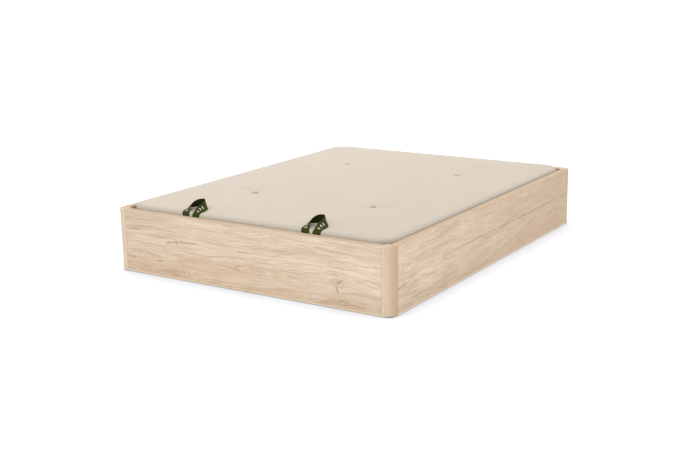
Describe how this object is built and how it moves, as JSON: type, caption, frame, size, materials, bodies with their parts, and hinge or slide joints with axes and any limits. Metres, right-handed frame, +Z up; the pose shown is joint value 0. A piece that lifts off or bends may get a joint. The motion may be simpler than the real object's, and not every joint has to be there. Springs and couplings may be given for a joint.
{
  "type": "storage bed base",
  "caption": "Lift-up storage bed base: wood-decor box with rounded corner posts, padded lid on gas springs, webbing pull loops.",
  "frame": {"origin": "on the floor, under the middle of the box", "axes": "+X to the right across the width, +Y towards the head end, -Y is the foot end with the pull straps, +Z up"},
  "size_m": [1.5, 1.9, 0.363],
  "materials": {
    "oak_decor": "wood-grain decor foil, satin",
    "post_wood": "solid light wood, clear satin lacquer",
    "batten_wood": "planed softwood, unfinished",
    "zinc_steel": "pressed steel plate, zinc plated",
    "fastener_steel": "bright zinc plated",
    "fibreboard": "brown hardboard, smooth face",
    "black_plastic": "matt black",
    "black_rubber": "matt black",
    "nylon": "dark grey nylon",
    "tube_steel": "black powder coat",
    "lid_fabric": "cream spacer mesh, matt",
    "vent_metal": "grey, satin",
    "webbing": "dark green woven webbing",
    "spring_cylinder": "gloss black",
    "spring_rod": "hard chrome"
  },
  "bodies": {
    "box": {"foot_panel": "oak_decor", "head_panel": "oak_decor", "left_side_panel": "oak_decor", "right_side_panel": "oak_decor", "corner_post_foot_left": "post_wood", "corner_post_foot_right": "post_wood", "corner_post_head_left": "post_wood", "corner_post_head_right": "post_wood", "corner_dowels": "batten_wood", "corner_brackets": "zinc_steel", "corner_bracket_screws": "fastener_steel", "corner_hanger_bolts": "fastener_steel", "ledger_foot": "batten_wood", "ledger_head": "batten_wood", "ledger_left": "batten_wood", "ledger_right": "batten_wood", "ledger_screws": "fastener_steel", "center_rail": "batten_wood", "center_rail_feet": "batten_wood", "floor_boards": "fibreboard", "floor_glides": "black_plastic", "rest_cleat_foot": "batten_wood", "rest_cleat_left": "batten_wood", "rest_cleat_right": "batten_wood", "cleat_screws": "fastener_steel", "lid_bumpers": "black_rubber", "hinge_bracket_left": "zinc_steel", "hinge_bracket_right": "zinc_steel", "hinge_bracket_screws": "fastener_steel", "hinge_pins": "fastener_steel", "hinge_washers": "nylon", "gas_lower_studs": "fastener_steel"},
    "lid": {"lid_tube_foot": "tube_steel", "lid_tube_head": "tube_steel", "lid_tube_left": "tube_steel", "lid_tube_right": "tube_steel", "lid_corner_bends": "tube_steel", "lid_cross_tubes": "tube_steel", "lid_board": "fibreboard", "lid_pad": "lid_fabric", "air_vents": "vent_metal", "hinge_arm_left": "zinc_steel", "hinge_arm_right": "zinc_steel", "hinge_bushes": "nylon", "hinge_arm_rivets": "fastener_steel", "gas_upper_brackets": "zinc_steel", "pull_strap_left": "webbing", "pull_strap_right": "webbing", "strap_clamp_plates": "zinc_steel", "strap_rivets": "fastener_steel"},
    "left_spring_cylinder": {"gas_cylinder_left": "spring_cylinder", "gas_lower_end_left": "nylon"},
    "left_spring_rod": {"gas_rod_left": "spring_rod", "gas_upper_end_left": "nylon"},
    "right_spring_cylinder": {"gas_cylinder_right": "spring_cylinder", "gas_lower_end_right": "nylon"},
    "right_spring_rod": {"gas_rod_right": "spring_rod", "gas_upper_end_right": "nylon"}
  },
  "joints": [
    {"name": "lid_hinge", "type": "hinge", "parent": "box", "child": "lid", "pos_m": [0, 0.8, 0.282], "axis": [-1, 0, 0], "range_deg": [0, 40]},
    {"name": "left_spring_swivel", "type": "hinge", "parent": "box", "child": "left_spring_cylinder", "pos_m": [-0.69, 0.78, 0.07], "axis": [-1, 0, 0], "range_deg": [0, 21]},
    {"name": "left_spring_stroke", "type": "slide", "parent": "left_spring_cylinder", "child": "left_spring_rod", "axis": [0, -0.7526, 0.6585], "range_m": [0, 0.105]},
    {"name": "right_spring_swivel", "type": "hinge", "parent": "box", "child": "right_spring_cylinder", "pos_m": [0.69, 0.78, 0.07], "axis": [-1, 0, 0], "range_deg": [0, 21]},
    {"name": "right_spring_stroke", "type": "slide", "parent": "right_spring_cylinder", "child": "right_spring_rod", "axis": [0, -0.7526, 0.6585], "range_m": [0, 0.105]}
  ],
  "couplings": [
    {"joint": "left_spring_swivel", "follows": "lid_hinge", "ratio": 0.5222},
    {"joint": "left_spring_stroke", "follows": "lid_hinge", "m_per_rad": 0.14999},
    {"joint": "right_spring_swivel", "follows": "lid_hinge", "ratio": 0.5222},
    {"joint": "right_spring_stroke", "follows": "lid_hinge", "m_per_rad": 0.14999}
  ]
}
